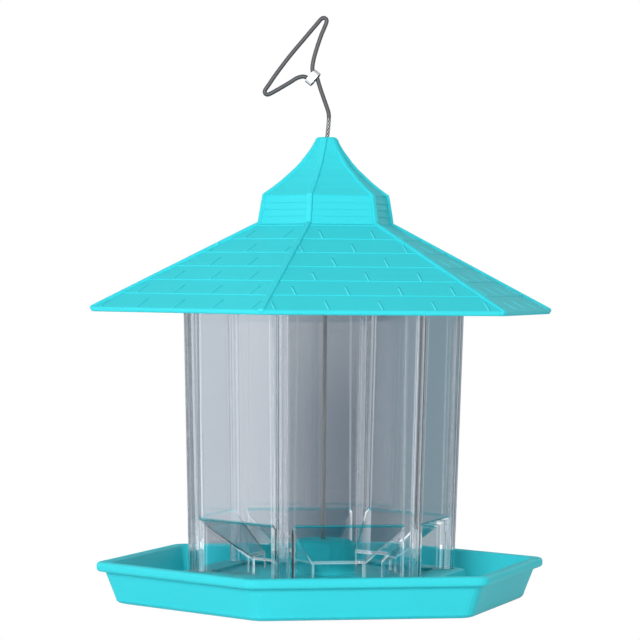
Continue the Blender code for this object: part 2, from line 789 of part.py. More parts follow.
def roof_inside():
    """From the slope's lower face up inside the band and the cupola to the neck's bore."""
    inner_foot = CUPOLA_FOOT_APOTHEM - BAND_STEP - ROOF_WALL
    inner_top = BAND_TOP_APOTHEM - BAND_STEP - ROOF_WALL
    outline = [
        (inner_foot, roof_underside(inner_foot)),
        (inner_top, CUPOLA_EAVE_HEIGHT - ROOF_WALL),
    ]
    bore_bottom = ROOF_HEIGHT - NECK_BORE_LENGTH
    rows = CUPOLA_COURSES * 2
    fall = (bore_bottom - CUPOLA_EAVE_HEIGHT) / rows
    for row in range(1, rows):
        height = CUPOLA_EAVE_HEIGHT + row * fall
        across = cupola_apothem(height) - ROOF_WALL
        if across > BORE_RADIUS:
            outline.append((across, height))
    return outline


def rib_path():
    """Points (across, height, rise, sink) under a rib, from the neck over the eave's lip."""
    skin = cupola_outline() + band_outline() + shingle_outline()
    (top_across, top_height), (shoulder_across, shoulder_height) = skin[:2]
    start = (
        top_across + (shoulder_across - top_across) * RIB_START_SHARE,
        top_height + (shoulder_height - top_height) * RIB_START_SHARE,
    )
    crests = [start]
    for here, there in zip(skin, skin[1:]):
        if there[1] < here[1] - SHINGLE_STEP / 2 and there[0] > crests[-1][0]:
            crests.append(there)
    path = [(*start, RIB_RISE * RIB_NECK_SHARE, RIB_SINK)]
    path += [(*crest, RIB_RISE, RIB_SINK) for crest in crests[1:]]
    lip = eave_outline()
    for point, share in zip(lip[1:], RIB_NOSE_SHARES):
        path.append((*point, RIB_RISE * share, RIB_NOSE_SINK))
    path.append((*lip[LIP_UPPER_STEPS + LIP_LOWER_STEPS], -RIB_ROUNDING, RIB_SINK))
    return path


def rib_section(rise, sink):
    """Points (sway, lift) round a rib's flat top with its rounded edges and its sunk sides."""
    half = RIB_WIDTH / 2
    return (
        (-half, -sink - RIB_ROUNDING),
        (-half, rise - RIB_ROUNDING),
        (-half + RIB_ROUNDING, rise),
        (half - RIB_ROUNDING, rise),
        (half, rise - RIB_ROUNDING),
        (half, -sink - RIB_ROUNDING),
    )


def make_rib(index):
    """One raised rib along a ridge, from the neck to the eave."""
    path = rib_path()
    heading = Matrix.Rotation(index * SIDE_TURN, 3, "Z")
    side = Vector((0, 1, 0))
    rings = []
    for number, (across, height, rise, sink) in enumerate(path):
        radius = min(corner_rounding(across), across)
        reach = across * CORNER_RATIO - radius * (CORNER_RATIO - 1)
        before = path[max(number - 1, 0)]
        after = path[min(number + 1, len(path) - 1)]
        run = (after[0] - before[0]) * CORNER_RATIO
        fall = after[1] - before[1]
        length = math.hypot(run, fall)
        out = Vector((-fall / length, 0, run / length))
        base = Vector((reach, 0, height))
        section = rib_section(rise, sink)
        ring_points = [base + side * sway + out * lift for sway, lift in section]
        rings.append([heading @ point for point in ring_points])
    return add_object(
        f"rib_piece_{index + 1}", loft("rib_piece", rings, closed_loop=False), hidden=True
    )


def make_roof(material):
    """The roof: one hollow moulding with ribs on its ridges."""
    hexagonal = cupola_outline() + band_outline() + shingle_outline() + eave_outline()
    hexagonal += roof_inside()
    profile = [(across, corner_rounding(across), height) for across, height in hexagonal]
    for height in (ROOF_HEIGHT - NECK_BORE_LENGTH, ROOF_HEIGHT):
        profile.append((BORE_RADIUS, BORE_RADIUS, height))
    roof = add_object("roof", loft("roof", [ring(*each) for each in profile]), material)
    ribs = [make_rib(index) for index in range(SIDES)]
    boolean(roof, "UNION", ribs)
    mesh = applied_mesh(roof)
    roof.modifiers.clear()
    roof.data = mesh
    for rib in ribs:
        bpy.data.objects.remove(rib, do_unlink=True)
    mesh.transform(Matrix.Rotation(ROOF_TURN, 4, "Z"))
    smooth(mesh)
    return roof


# Wire rope and its fittings


def wire_vector(across, height):
    """A direction or distance in the upright plane that the free wire lies in."""
    return Vector(
        (across * math.cos(WIRE_PLANE_TURN), across * math.sin(WIRE_PLANE_TURN), height)
    )


def wire_point(across, height):
    """A point of that plane, with its height above the neck's top."""
    return wire_vector(across, ROOF_HEIGHT + height)


def blend(here, there, start, end, now):
    """The point between two others for a time between their own times."""
    return here * ((end - now) / (end - start)) + there * ((now - start) / (end - start))


def smooth_route(route, samples):
    """Points on a centripetal Catmull-Rom curve through the route's own points."""
    points = [wire_point(*each) for each in route]
    ends = [2 * points[0] - points[1]] + points + [2 * points[-1] - points[-2]]
    made = []
    for p0, p1, p2, p3 in zip(ends, ends[1:], ends[2:], ends[3:]):
        t0 = 0
        t1 = t0 + math.sqrt((p1 - p0).length)
        t2 = t1 + math.sqrt((p2 - p1).length)
        t3 = t2 + math.sqrt((p3 - p2).length)
        for step in range(samples):
            now = t1 + (t2 - t1) * step / samples
            a = blend(p0, p1, t0, t1, now)
            b = blend(p1, p2, t1, t2, now)
            c = blend(p2, p3, t2, t3, now)
            made.append(blend(blend(a, b, t0, t2, now), blend(b, c, t1, t3, now), t1, t2, now))
    made.append(points[-1])
    return made


def make_wire(name, points, material):
    """A round wire along the points, with closed ends."""
    curve = bpy.data.curves.new(name, "CURVE")
    curve.dimensions = "3D"
    curve.bevel_depth = WIRE_DIAMETER / 2
    curve.bevel_resolution = 2
    curve.use_fill_caps = True
    spline = curve.splines.new("POLY")
    spline.points.add(len(points) - 1)
    for place, point in zip(spline.points, points):
        place.co = (*point, 1)
    curve.materials.append(material)
    obj = bpy.data.objects.new(name, curve)
    bpy.context.scene.collection.objects.link(obj)
    return obj


def washer_top():
    """Height of the face on which the boss rests."""
    return BOSS_HEIGHT - BOSS_WALL - SEAT_GAP


def stop_top():
    """Height of the end stop's upper face."""
    return washer_top() - WASHER_THICKNESS - SEAT_GAP


def turned(name, outline, material):
    """A round ring turned from a closed outline of (radius, height)."""
    mesh = loft(name, [circle(radius, height, SMALL_PART_SEGMENTS) for radius, height in outline])
    smooth(mesh)
    return add_object(name, mesh, material)


def make_washer(material):
    """Flat washer between the boss and the end stop."""
    hole = WIRE_DIAMETER / 2 + SEAT_GAP
    top = washer_top()
    bottom = top - WASHER_THICKNESS
    outline = ((hole, bottom), (WASHER_RADIUS, bottom), (WASHER_RADIUS, top), (hole, top))
    return turned("boss_washer", outline, material)


def make_stop(material):
    """Crimped sleeve on the wire's lower end, with rounded ends."""
    hole = WIRE_DIAMETER / 2 + SEAT_GAP
    top = stop_top()
    bottom = top - STOP_LENGTH
    side = STOP_RADIUS - STOP_ROUNDING
    outline = [(hole, bottom)]
    outline += arc((side, bottom + STOP_ROUNDING), STOP_ROUNDING, -90, 0, 3)
    outline += arc((side, top - STOP_ROUNDING), STOP_ROUNDING, 0, 90, 3)
    outline.append((hole, top))
    return turned("end_stop", outline, material)


def ferrule_outline(radius):
    """Outline round two wires side by side."""
    half = FERRULE_SPACING / 2
    points = []
    for side in (1, -1):
        for step in range(FERRULE_STEPS + 1):
            angle = math.radians(-90 + 180 * step / FERRULE_STEPS)
            points.append((side * (half + radius * math.cos(angle)), side * radius * math.sin(angle)))
    return points


def make_ferrule(material):
    """Flat sleeve round two stretches of the wire, which closes the loop."""
    inner = WIRE_DIAMETER / 2 + FERRULE_GAP
    outer = inner + FERRULE_WALL
    place = wire_point(*FERRULE_PLACE)
    across = wire_vector(math.cos(FERRULE_LEAN), math.sin(FERRULE_LEAN))
    upwards = wire_vector(-math.sin(FERRULE_LEAN), math.cos(FERRULE_LEAN))
    through = Matrix.Rotation(-FERRULE_TILT, 3, across) @ upwards
    depth = across.cross(through)
    half = FERRULE_LENGTH / 2
    rings = []
    for radius, end in ((outer, -half), (outer, half), (inner, half), (inner, -half)):
        outline = ferrule_outline(radius)
        rings.append([place + across * x + depth * y + through * end for x, y in outline])
    mesh = loft("loop_ferrule", rings)
    smooth(mesh)
    return add_object("loop_ferrule", mesh, material)


def make_wires(material):
    """The held wire on the axis, the lead above the neck and the loop."""
    bottom = stop_top() - STOP_LENGTH - WIRE_TAIL
    held = [Vector((0, 0, bottom)), Vector((0, 0, ROOF_HEIGHT - SPLIT_DEPTH))]
    make_wire("hanger_cable", held, material)
    make_wire("cable_lead", smooth_route(LEAD_ROUTE, WIRE_SAMPLES), material)
    make_wire("cable_loop", smooth_route(LOOP_ROUTE, WIRE_SAMPLES), material)


def main():
    clear_scene()
    turquoise = finish_material("turquoise_plastic", TURQUOISE, 0.35)
    clear = finish_material("clear_plastic", CLEAR_PLASTIC, 0.08, alpha=0.25)
    steel = finish_material("wire_steel", STEEL_GREY, 0.35, metallic=1.0)
    pale = finish_material("sleeve_metal", PALE_METAL, 0.4, metallic=1.0)
    make_tray(turquoise)
    make_panels(clear)
    make_roof(turquoise)
    make_washer(pale)
    make_stop(pale)
    make_ferrule(pale)
    make_wires(steel)


main()
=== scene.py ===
"""Dresses the hanging bird feeder over its CAD frame and sets it on a white ground.

The frame gives the moving bodies. Feeder gives the CAD nodes their finish, WireRope and
ShingleJoints build new pieces over them, and Studio adds the ground, the cards and the lights.
Lengths are in metres and +Z is up.
"""

from __future__ import annotations

import functools
import logging
import math
from dataclasses import dataclass
from enum import Enum

import bpy
import numpy as np
from mathutils import Matrix, Vector


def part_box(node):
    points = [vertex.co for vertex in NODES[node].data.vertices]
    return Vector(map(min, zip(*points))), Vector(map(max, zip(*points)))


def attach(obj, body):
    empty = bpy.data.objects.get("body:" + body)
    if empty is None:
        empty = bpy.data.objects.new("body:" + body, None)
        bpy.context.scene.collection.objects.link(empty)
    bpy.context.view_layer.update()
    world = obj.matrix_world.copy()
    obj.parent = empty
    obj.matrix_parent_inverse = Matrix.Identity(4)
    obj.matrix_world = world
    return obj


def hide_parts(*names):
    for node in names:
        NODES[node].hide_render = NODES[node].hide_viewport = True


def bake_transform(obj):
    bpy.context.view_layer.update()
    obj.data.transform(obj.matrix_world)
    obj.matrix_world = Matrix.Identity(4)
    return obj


logging.basicConfig(level=logging.INFO, format="%(name)s: %(message)s")
LOG = logging.getLogger("bird_feeder")
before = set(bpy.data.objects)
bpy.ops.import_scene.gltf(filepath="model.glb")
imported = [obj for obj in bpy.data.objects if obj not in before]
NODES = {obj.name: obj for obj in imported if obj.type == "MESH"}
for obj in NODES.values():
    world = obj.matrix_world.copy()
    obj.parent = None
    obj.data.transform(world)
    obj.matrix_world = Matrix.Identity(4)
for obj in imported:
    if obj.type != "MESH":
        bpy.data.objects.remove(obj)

MM = 0.001
SIDES = 6
SIDE_TURN = math.tau / SIDES
BODY_CENTRE = (0.0, 0.0, 0.12)

Colour = tuple[float, float, float, float]
BLACK: Colour = (0.0, 0.0, 0.0, 1.0)
WHITE: Colour = (1.0, 1.0, 1.0, 1.0)

# The free wire's route in millimetres: distance to the right in its upright plane, and height
# above the roof's neck. The first part leads out of the neck and the second holds the loop.
LEAD_ROUTE = (
    (0, -3.2), (0.1, -1.2), (0.4, 1.6), (0.8, 5.8), (1.05, 9.8),
)
LOOP_ROUTE = (
    (1.05, 10.3), (0.8, 12.8), (-0.1, 15.6), (-1.8, 20.3), (-3.6, 25.4), (-4.6, 28.6),
    (-5.23, 30.59), (-6.29, 32.06), (-7.38, 33.36), (-7.74, 35.1), (-7.45, 38.6), (-6.4, 43.2),
    (-3.4, 52.6), (-1.7, 56.8), (-0.67, 59.59), (-0.63, 60.69), (-1.3, 61.55), (-2.36, 61.79),
    (-3.34, 61.27), (-5.4, 58.9), (-8.1, 55.7), (-11.5, 51.6), (-18.8, 42.8), (-22.8, 37.6),
    (-27.1, 31.7), (-30.3, 26.9), (-32.16, 24.12), (-32.39, 23.17), (-31.99, 22.27),
    (-31.13, 21.82), (-30.16, 21.99), (-26.9, 23.7), (-18.9, 28.5), (-16.1, 30.3), (-13.7, 31.2),
    (-12.1, 31.3), (-10.18, 30.57), (-8.65, 29.28), (-7.5, 28.32),
)
ROPE_PLANE_TURN = math.radians(-12.6)
NECK_HEIGHT = 240.6 * MM


class Slot(str, Enum):
    """The record's material slots."""

    TURQUOISE = "turquoise_plastic"
    CLEAR = "clear_plastic"
    WIRE = "wire_steel"
    SLEEVE = "sleeve_metal"


# Shader graphs


class Value:
    """An output socket with arithmetic. Each operator adds one math node to its graph."""

    FLAT_SHARE = 0.7

    def __init__(self, graph: Graph, socket: bpy.types.NodeSocket):
        self.graph = graph
        self.socket = socket

    def __add__(self, other: Value | float) -> Value:
        return self.graph.math("ADD", self, other)

    def __sub__(self, other: Value | float) -> Value:
        return self.graph.math("SUBTRACT", self, other)

    def __rsub__(self, other: float) -> Value:
        return self.graph.math("SUBTRACT", other, self)

    def __mul__(self, other: Value | float) -> Value:
        return self.graph.math("MULTIPLY", self, other)

    def __truediv__(self, other: Value | float) -> Value:
        return self.graph.math("DIVIDE", self, other)

    def __rtruediv__(self, other: float) -> Value:
        return self.graph.math("DIVIDE", other, self)

    def __gt__(self, other: Value | float) -> Value:
        return self.graph.math("GREATER_THAN", self, other)

    def __lt__(self, other: Value | float) -> Value:
        return self.graph.math("LESS_THAN", self, other)

    __radd__ = __add__
    __rmul__ = __mul__

    def call(self, operation: str) -> Value:
        """Applies a math operation that Python has no sign for, such as FRACT."""
        return self.graph.math(operation, self)

    def near(self, place: Value | float, width: float) -> Value:
        """Marks where this value is close to a place.

        Args:
            place: where the mark is 1.
            width: distance from it at which the mark has fallen to 0.

        Returns:
            The mark, which stays 1 over the middle share of the width.
        """
        away = (self - place).call("ABSOLUTE")
        return 1.0 - away.step(width * self.FLAT_SHARE, width)

    def step(self, low: float, high: float, start: float = 0.0, end: float = 1.0) -> Value:
        """Runs smoothly from start to end while this value runs from low to high."""
        return self.graph.add(
            "ShaderNodeMapRange",
            {"interpolation_type": "SMOOTHSTEP"},
            {"Value": self, "From Min": low, "From Max": high, "To Min": start, "To Max": end},
        )


class Graph:
    """The node tree of one material or world."""

    MIX_INPUTS = (0, 6, 7)
    MIX_OUTPUT = 2

    def __init__(self, owner: bpy.types.Material | bpy.types.World, end_kind: str):
        owner.use_nodes = True
        self.nodes = owner.node_tree.nodes
        self.links = owner.node_tree.links
        self.nodes.clear()
        self.end = self.nodes.new(end_kind)

    def add(
        self,
        kind: str,
        settings: dict | None = None,
        inputs: dict | None = None,
        out: int | str = 0,
    ) -> Value:
        """Adds any node.

        Args:
            kind: the node's type name.
            settings: its own properties.
            inputs: input name or number to a Value or a constant.
            out: name or number of the output that is returned.

        Returns:
            The chosen output as a Value.
        """
        node = self.nodes.new(kind)
        for name, setting in (settings or {}).items():
            setattr(node, name, setting)
        for key, given in (inputs or {}).items():
            if isinstance(given, Value):
                self.links.new(given.socket, node.inputs[key])
            else:
                node.inputs[key].default_value = given
        return Value(self, node.outputs[out])

    def outputs(self, value: Value, *names: str) -> tuple[Value, ...]:
        """The named outputs of the node that a value comes from."""
        return tuple(Value(self, value.socket.node.outputs[name]) for name in names)

    def math(self, operation: str, *terms: Value | float) -> Value:
        """Adds a math node."""
        return self.add("ShaderNodeMath", {"operation": operation}, dict(enumerate(terms)))

    def place(self) -> Value:
        """The object coordinates, which are the row frame's own."""
        return self.add("ShaderNodeTexCoord", out="Object")

    def attribute(self, name: str) -> Value:
        """A number stored at each vertex of the mesh."""
        return self.add("ShaderNodeAttribute", {"attribute_name": name}, out="Fac")

    def either(self, first: Value, second: Value) -> Value:
        """The larger of two values, which is the union of two masks."""
        return self.math("MAXIMUM", first, second)

    def split(self, vector: Value) -> tuple[Value, Value, Value]:
        """The three parts of a vector."""
        parts = self.add("ShaderNodeSeparateXYZ", inputs={"Vector": vector})
        return self.outputs(parts, "X", "Y", "Z")

    def sector(self, turn: float) -> tuple[Value, Value, Value]:
        """Place within one of the six equal sides, so that a pattern repeats on all of them.

        Args:
            turn: how far the sides are turned about the axis, in radians.

        Returns:
            Distance to the right of the side's middle, distance out from the axis and height.
        """
        x, y, height = self.split(self.place())
        heading = self.math("ARCTAN2", y, x) - (turn - math.pi / 2)
        turns = heading / SIDE_TURN + (SIDES + 0.5)
        swing = (turns.call("FRACT") - 0.5) * SIDE_TURN
        radius = (x * x + y * y).call("SQRT")
        return radius * swing.call("SINE"), radius * swing.call("COSINE"), height

    def rays(self, *kinds: str) -> Value:
        """1 for the rays of any of these kinds, such as Camera or Glossy."""
        path = self.add("ShaderNodeLightPath")
        masks = self.outputs(path, *(f"Is {kind} Ray" for kind in kinds))
        return functools.reduce(self.either, masks)

    def noise(self, scale: float, detail: float = 3.0) -> Value:
        """Noise between 0 and 1 over the object's place."""
        inputs = {"Vector": self.place(), "Scale": scale, "Detail": detail}
        return self.add("ShaderNodeTexNoise", inputs=inputs)

    def mix(self, factor: Value, first: Value | Colour, second: Value | Colour) -> Value:
        """Mixes two colours."""
        inputs = dict(zip(self.MIX_INPUTS, (factor, first, second)))
        return self.add("ShaderNodeMix", {"data_type": "RGBA"}, inputs, self.MIX_OUTPUT)

    def bump(self, height: Value, distance: float) -> Value:
        """A normal that follows a height of 0 to 1 times distance."""
        return self.add("ShaderNodeBump", inputs={"Height": height, "Distance": distance})

    def finish(self, kind: str, inputs: dict) -> None:
        """Ends the tree with a shader.

        Args:
            kind: the shader node's type name.
            inputs: its inputs, as for add.
        """
        self.links.new(self.add(kind, inputs=inputs).socket, self.end.inputs["Surface"])


# Finishes


@dataclass(frozen=True)
class PlasticFinish:
    """Opaque moulded plastic."""

    colour: Colour = (0.040, 0.595, 0.665, 1.0)
    # The next two colours are the painted shade and the painted light beside the shingle joints.
    painted_shade_colour: Colour = (0.010, 0.330, 0.390, 1.0)
    pale: Colour = (0.110, 0.780, 0.850, 1.0)
    shine: float = 0.06
    roughness: float = 0.45
    rough_spread: float = 0.12
    mottle: float = 0.04
    cloud_scale: float = 22.0
    grain_scale: float = 2600.0
    grain: float = 0.03 * MM


@dataclass(frozen=True)
class ShingleSize:
    """Courses of the roof's shingles, as the CAD roof has them, the joints in each course, and the
    painted shade and painted light beside the joints.
    """

    turn: float = math.radians(2.9)
    top_height: float = 195.7 * MM
    top_out: float = 31.0 * MM
    fall: float = 43.4 / 75.6
    first_line: float = 32.9 * MM
    course_run: float = 12.283 * MM
    course_step: float = 0.45 * MM
    courses: int = 6
    skin: float = 1.2 * MM
    spacing: float = 27.2 * MM
    shift: float = 0.5 * MM
    ridge_margin: float = 3.6 * MM
    start_share: float = 0.38
    latest_start_share: float = 0.85
    joint_end_share: float = 0.985
    joint_width: float = 0.65 * MM
    joint_rise: float = 0.3 * MM
    joint_sink: float = 0.3 * MM
    # Painted shade and painted light on either side of each joint: their fade, their places and
    # their strengths.
    mark_fade_share: float = 0.06
    shade_shift_share: float = 0.6
    light_shift_share: float = -0.4
    shade: float = 0.55
    light: float = 0.6

    @property
    def plane(self) -> float:
        """Height at the axis of the slope through the shingles' lower edges."""
        return self.top_height + self.top_out * self.fall

    def painted_marks(self, graph: Graph) -> tuple[Value, Value]:
        """Finds the painted shade and the painted light beside the upright joints.

        Args:
            graph: the material's node tree.

        Returns:
            The mask of the painted shade and the mask of the painted light.
        """
        along, outward, height = graph.sector(self.turn)
        courses = (outward - self.first_line) / self.course_run
        even = (courses.call("FLOOR") * 0.5).call("FRACT") < 0.25
        turns = (along + self.shift) / self.spacing + even * 0.5 + 0.5
        offset = (turns.call("FRACT") - 0.5) * self.spacing
        fade = self.mark_fade_share
        on_slope = (
            courses.call("FRACT").step(self.start_share - fade, self.start_share + fade)
            * (height + outward * self.fall > self.plane - self.skin)
            * (outward > self.first_line)
            * (outward < self.first_line + self.course_run * self.courses)
        )

        def mark(shift_share: float) -> Value:
            """A painted line beside the joints, shifted by a share of their width."""
            away = (offset - self.joint_width * shift_share).call("ABSOLUTE")
            return away.step(0.0, self.joint_width, 1.0, 0.0) * on_slope

        return mark(self.shade_shift_share), mark(self.light_shift_share)


@dataclass(frozen=True)
class ClearFinish:
    """Clear moulded plastic, whose edges carry a painted highlight and a painted glow."""

    colour: Colour = (0.955, 0.965, 0.985, 1.0)
    index: float = 1.16
    coat_index: float = 1.49
    roughness: float = 0.004
    rough_spread: float = 0.004
    haze_scale: float = 30.0
    # A painted teal line and a faint painted teal glow on the window's top edge.
    painted_window_line_colour: Colour = (0.22, 0.74, 0.78, 1.0)
    painted_window_glow: Colour = (0.0, 0.05, 0.06, 1.0)
    # The edges' painted highlight colour, then their share of transmission, and the strength of
    # the painted glow.
    painted_edge_colour: Colour = (0.86, 0.95, 0.97, 1.0)
    edge_clearness: float = 0.35
    painted_edge_glow: float = 0.55
    edge_roughness: float = 0.15
    edge_spread: float = 0.1
    edge_haze_scale: float = 120.0
    edge_coat_roughness: float = 0.1


@dataclass(frozen=True)
class PanelLines:
    """Where a hopper panel's narrow edge faces lie, on each of the six sides alike; a painted glow
    and a painted teal line go there.
    """

    window_half: float = 28.0 * MM
    window_top: float = 43.4 * MM
    window_out: float = 53.0 * MM
    window_line: float = 0.9 * MM
    pocket_out: float = 36.0 * MM
    pocket_half: float = 12.6 * MM
    pocket_top: float = 22.3 * MM
    pocket_spread: float = 0.776
    ramp_rise: float = 0.915
    cheek: float = 1.5 * MM
    line: float = 0.45 * MM
    mouth_rise: float = 3.0 * MM
    slope_overrun: float = 2.0 * MM
    upright_fade: float = 1.0 * MM
    # Strengths of the painted glow on each kind of edge.
    pane_share: float = 0.10
    window_share: float = 0.30
    mouth_share: float = 0.38
    slope_share: float = 0.55

    def window_edge(self, graph: Graph) -> Value:
        """1 on the window's top edge, where a teal line and a faint glow are painted."""
        along, outward, height = graph.sector(0.0)
        within = (along.call("ABSOLUTE") < self.window_half) * (outward > self.window_out)
        return height.near(self.window_top, self.window_line) * within

    def painted_glow_edges(self, graph: Graph) -> Value:
        """Finds the edges that get a painted glow.

        Args:
            graph: the material's node tree.

        Returns:
            A mask round the outlet and along the pocket's upper edges, and weaker along the
            upright edges of window and pane.
        """
        along, outward, height = graph.sector(0.0)
        across = along.call("ABSOLUTE")
        inward = outward - self.pocket_out
        half = inward * self.pocket_spread + (self.pocket_half + self.cheek)
        ramp = inward * self.ramp_rise + (self.pocket_top + self.cheek / 2)
        low = height < self.pocket_top + self.mouth_rise
        mouth = outward.near(self.pocket_out, self.line) * low
        slope = height.near(ramp, self.cheek) * across.near(half, self.line)
        slope = slope * (outward < self.window_out + self.slope_overrun)
        upright = across.near(self.window_half, self.line / 2) * (outward > self.window_out)
        share = height.step(
            self.window_top - self.upright_fade,
            self.window_top,
            self.window_share,
            self.pane_share,
        )
        pocket = graph.either(mouth * self.mouth_share, slope * self.slope_share)
        return graph.either(pocket, upright * share)


@dataclass(frozen=True)
class MetalFinish:
    """Bare metal."""

    colour: Colour = (0.60, 0.61, 0.63, 1.0)
    roughness: float = 0.42
    rough_spread: float = 0.2
    dark_share: float = 0.7
    scuff_scale: float = 900.0


@dataclass(frozen=True)
class RopeFinish:
    """Steel wire rope with painted shade in its grooves, and a dull smooth stretch."""

    crest: Colour = (0.78, 0.78, 0.78, 1.0)
    # Near-black groove colour: painted shade between the strands, full from this share of the
    # groove's depth.
    groove: Colour = (0.01, 0.01, 0.011, 1.0)
    painted_groove_shade_full: float = 0.18
    dull: Colour = (0.085, 0.085, 0.09, 1.0)
    roughness: float = 0.26
    rough_spread: float = 0.12
    dull_roughness: float = 0.16
    metallic: float = 0.2
    dull_metallic: float = 0.3
    shine: float = 0.12
    scuff_scale: float = 900.0


SHINGLES = ShingleSize()
PANEL_LINES = PanelLines()


def scaled(colour: Colour, share: float) -> Colour:
    """The colour made brighter or darker, and no brighter than white."""
    return tuple(min(1.0, part * share) for part in colour[:3]) + (1.0,)


def new_material(name: str) -> tuple[bpy.types.Material, Graph]:
    """A material with an empty graph."""
    material = bpy.data.materials.new(name)
    return material, Graph(material, "ShaderNodeOutputMaterial")


def plastic(
    name: str, finish: PlasticFinish, shingles: ShingleSize | None = None
) -> bpy.types.Material:
    """Moulded plastic.

    Args:
        name: the material's name.
        finish: its look.
        shingles: paints shade and light beside these shingles' joints.

    Returns:
        The material.
    """
    material, graph = new_material(name)
    cloud = graph.noise(finish.cloud_scale)
    colour = graph.mix(
        cloud, scaled(finish.colour, 1 - finish.mottle), scaled(finish.colour, 1 + finish.mottle)
    )
    if shingles:
        # Painted shade and painted light beside the shingle joints.
        shade, light = shingles.painted_marks(graph)
        colour = graph.mix(shade * shingles.shade, colour, finish.painted_shade_colour)
        colour = graph.mix(light * shingles.light, colour, finish.pale)
    inputs = {
        "Base Color": colour,
        "Roughness": cloud * finish.rough_spread + (finish.roughness - finish.rough_spread / 2),
        "Specular IOR Level": finish.shine,
        "Normal": graph.bump(graph.noise(finish.grain_scale, 1.0), finish.grain),
    }
    graph.finish("ShaderNodeBsdfPrincipled", inputs)
    return material


def clear_plastic(name: str, finish: ClearFinish) -> bpy.types.Material:
    """Clear plastic. A coat gives its reflections, and a low index keeps the view calm. It carries
    a painted glow on its edges and a painted teal line on the window's top edge.
    """
    material, graph = new_material(name)
    # Painted teal line and faint painted teal glow on the window's top edge.
    window = PANEL_LINES.window_edge(graph)
    # Painted glow on the outlet, pocket and upright edges.
    glow = graph.mix(PANEL_LINES.painted_glow_edges(graph), BLACK, finish.painted_edge_colour)
    inputs = {
        "Base Color": graph.mix(window, finish.colour, finish.painted_window_line_colour),
        "Roughness": graph.noise(finish.haze_scale) * finish.rough_spread + finish.roughness,
        "IOR": finish.index,
        "Transmission Weight": 1.0,
        "Emission Color": graph.mix(window, glow, finish.painted_window_glow),
        "Emission Strength": finish.painted_edge_glow,
        "Coat Weight": 1.0,
        "Coat IOR": finish.coat_index,
        "Coat Roughness": finish.roughness,
    }
    graph.finish("ShaderNodeBsdfPrincipled", inputs)
    return material


def clear_edge(name: str, finish: ClearFinish) -> bpy.types.Material:
    """The clear plastic's rounded edges, with a painted pale highlight colour and a painted glow.
    """
    material, graph = new_material(name)
    haze = graph.noise(finish.edge_haze_scale, 2.0)
    inputs = {
        "Base Color": finish.painted_edge_colour,
        "Roughness": haze * finish.edge_spread + finish.edge_roughness,
        "IOR": finish.index,
        "Transmission Weight": finish.edge_clearness,
        "Emission Color": finish.painted_edge_colour,
        "Emission Strength": finish.painted_edge_glow,
        "Coat Weight": 1.0,
        "Coat IOR": finish.coat_index,
        "Coat Roughness": finish.edge_coat_roughness,
    }
    graph.finish("ShaderNodeBsdfPrincipled", inputs)
    return material


def rope_metal(name: str, finish: RopeFinish) -> bpy.types.Material:
    """Twisted steel strands with painted shade between them, and the smooth dull stretch."""
    material, graph = new_material(name)
    # Painted shade: the colour runs to near black in the grooves between strands.
    groove = graph.attribute("groove").step(0.0, finish.painted_groove_shade_full)
    dull = graph.attribute("dull")
    scuff = graph.noise(finish.scuff_scale) * finish.rough_spread
    inputs = {
        "Base Color": graph.mix(dull, graph.mix(groove, finish.crest, finish.groove), finish.dull),
        "Roughness": scuff + dull * finish.dull_roughness + finish.roughness,
        "Metallic": dull * finish.dull_metallic + finish.metallic,
        "Specular IOR Level": finish.shine,
    }
    graph.finish("ShaderNodeBsdfPrincipled", inputs)
    return material


def metal(name: str, finish: MetalFinish) -> bpy.types.Material:
    """Bare metal with small scuffs."""
    material, graph = new_material(name)
    scuff = graph.noise(finish.scuff_scale)
    inputs = {
        "Base Color": graph.mix(scuff, scaled(finish.colour, finish.dark_share), finish.colour),
        "Roughness": scuff * finish.rough_spread + (finish.roughness - finish.rough_spread / 2),
        "Metallic": 1.0,
    }
    graph.finish("ShaderNodeBsdfPrincipled", inputs)
    return material


# Geometry helpers


def link_object(name: str, data: bpy.types.ID) -> bpy.types.Object:
    """A new object in the scene."""
    obj = bpy.data.objects.new(name, data)
    bpy.context.scene.collection.objects.link(obj)
    return obj


def grid_object(name: str, rings: np.ndarray, material: bpy.types.Material) -> bpy.types.Object:
    """Closed tubes through rings of points.

    Args:
        name: the object's name.
        rings: points as an array of rings by points by 3, with one more axis first for
            several tubes.
        material: its material.

    Returns:
        The linked object, shaded smooth.
    """
    index = np.arange(rings[..., 0].size).reshape(-1, *rings.shape[-3:-1])
    following = np.roll(index, -1, axis=2)
    corners = [index[:, :-1], following[:, :-1], following[:, 1:], index[:, 1:]]
    faces = np.stack(corners, axis=-1).reshape(-1, 4).tolist()
    faces += index[:, 0, ::-1].tolist() + index[:, -1].tolist()
    mesh = bpy.data.meshes.new(name)
    mesh.from_pydata(rings.reshape(-1, 3).tolist(), [], faces)
    mesh.shade_smooth()
    mesh.materials.append(material)
    return link_object(name, mesh)


def set_materials(obj: bpy.types.Object, *materials: bpy.types.Material) -> None:
    """Gives the object its materials, the first one for all of its faces."""
    obj.data.materials.clear()
    for material in materials:
        obj.data.materials.append(material)


def store(obj: bpy.types.Object, name: str, values: np.ndarray) -> None:
    """Stores a number at each vertex for the object's material.

    Args:
        obj: the object.
        name: the attribute's name.
        values: one number for each vertex.
    """
    layer = obj.data.attributes.new(name, "FLOAT", "POINT")
    layer.data.foreach_set("value", np.ascontiguousarray(values, dtype=np.float32).ravel())


